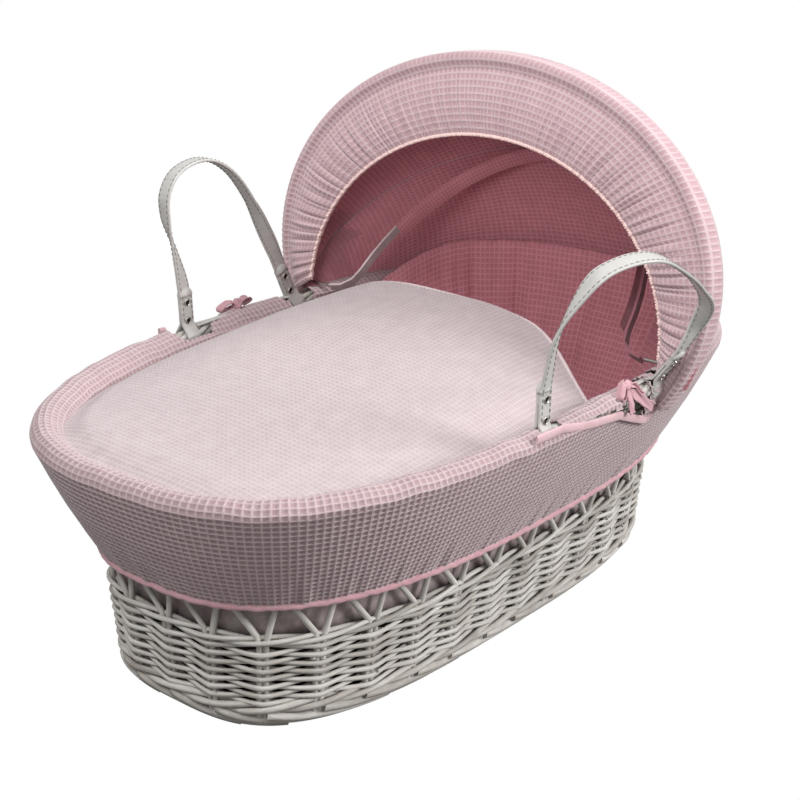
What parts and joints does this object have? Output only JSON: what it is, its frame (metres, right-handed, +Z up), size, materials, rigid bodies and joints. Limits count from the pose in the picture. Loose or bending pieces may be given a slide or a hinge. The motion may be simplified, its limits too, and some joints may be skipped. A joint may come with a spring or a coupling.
{
  "type": "moses basket",
  "caption": "Oval wicker baby basket with padded fabric dressing, folding hood, lift-off coverlet and two carrying handles.",
  "frame": {"origin": "on the resting plane, under the middle of the basket's rim oval", "axes": "+X from the foot end to the hood end, +Y to the left side, +Z up"},
  "size_m": [0.838, 0.6236, 0.5787],
  "materials": {
    "willow": "grey-washed peeled willow rods, matt",
    "board": "thin hardboard, matt",
    "waffle_fabric": "pale pink cotton waffle weave",
    "lining_fabric": "plain pale lining cloth",
    "trim_fabric": "plain pink ribbon and gathered elastic edging",
    "foam": "fibre mattress filling",
    "strap_leather": "pale grey faux leather, satin, stitched edges",
    "bow_strip": "flat plastic hoop, satin",
    "nickel": "nickel-plated rivets"
  },
  "bodies": {
    "root": {"base_board": "board", "bumper_pad": "waffle_fabric", "foot_border": "willow", "hood_canopy_rear": "waffle_fabric", "hood_pivot_left": "nickel", "hood_pivot_right": "nickel", "mattress_core": "foam", "mattress_sheet": "lining_fabric", "rim_border": "willow", "rim_strap_left": "strap_leather", "rim_strap_right": "strap_leather", "side_weave_lower": "willow", "side_weave_upper": "willow", "skirt": "waffle_fabric", "skirt_hem": "trim_fabric", "stake_lattice": "willow", "tie_knot_left": "trim_fabric", "tie_knot_right": "trim_fabric", "tie_loop_left_foot": "trim_fabric", "tie_loop_left_head": "trim_fabric", "tie_loop_right_foot": "trim_fabric", "tie_loop_right_head": "trim_fabric", "tie_tail_left_foot": "trim_fabric", "tie_tail_left_head": "trim_fabric", "tie_tail_right_foot": "trim_fabric", "tie_tail_right_head": "trim_fabric", "wall_lining": "lining_fabric"},
    "hood_middle": {"hood_middle_bow": "bow_strip", "bow_casing": "waffle_fabric", "hood_canopy_front": "waffle_fabric"},
    "hood_front": {"hood_front_bow": "bow_strip", "hood_brim": "waffle_fabric", "brim_elastic": "trim_fabric"},
    "handle_left": {"handle_left": "strap_leather", "rivet_left_foot_high": "nickel", "rivet_left_foot_low": "nickel", "rivet_left_head_high": "nickel", "rivet_left_head_low": "nickel"},
    "handle_right": {"handle_right": "strap_leather", "rivet_right_foot_high": "nickel", "rivet_right_foot_low": "nickel", "rivet_right_head_high": "nickel", "rivet_right_head_low": "nickel"},
    "coverlet": {"coverlet": "waffle_fabric"}
  },
  "joints": [
    {"name": "hood_middle_fold", "type": "hinge", "parent": "root", "child": "hood_middle", "pos_m": [0.127, 0, 0.283], "axis": [0, 1, 0], "range_deg": [0, 19], "deforming": ["hood_canopy_rear"]},
    {"name": "hood_front_fold", "type": "hinge", "parent": "hood_middle", "child": "hood_front", "pos_m": [0.127, 0, 0.283], "axis": [0, 1, 0], "range_deg": [0, 32], "deforming": ["hood_canopy_front"]},
    {"name": "handle_left_swing", "type": "hinge", "parent": "root", "child": "handle_left", "pos_m": [0, 0.2468, 0.2648], "axis": [-1, 0, 0], "range_deg": [-55, 130]},
    {"name": "handle_right_swing", "type": "hinge", "parent": "root", "child": "handle_right", "pos_m": [0, -0.2468, 0.2648], "axis": [1, 0, 0], "range_deg": [-60, 100]},
    {"name": "coverlet_lift", "type": "slide", "parent": "root", "child": "coverlet", "axis": [0, 0, 1], "range_m": [0, 0.35]}
  ],
  "couplings": [
    {"joint": "hood_middle_fold", "follows": "hood_front_fold", "ratio": 0.59}
  ]
}
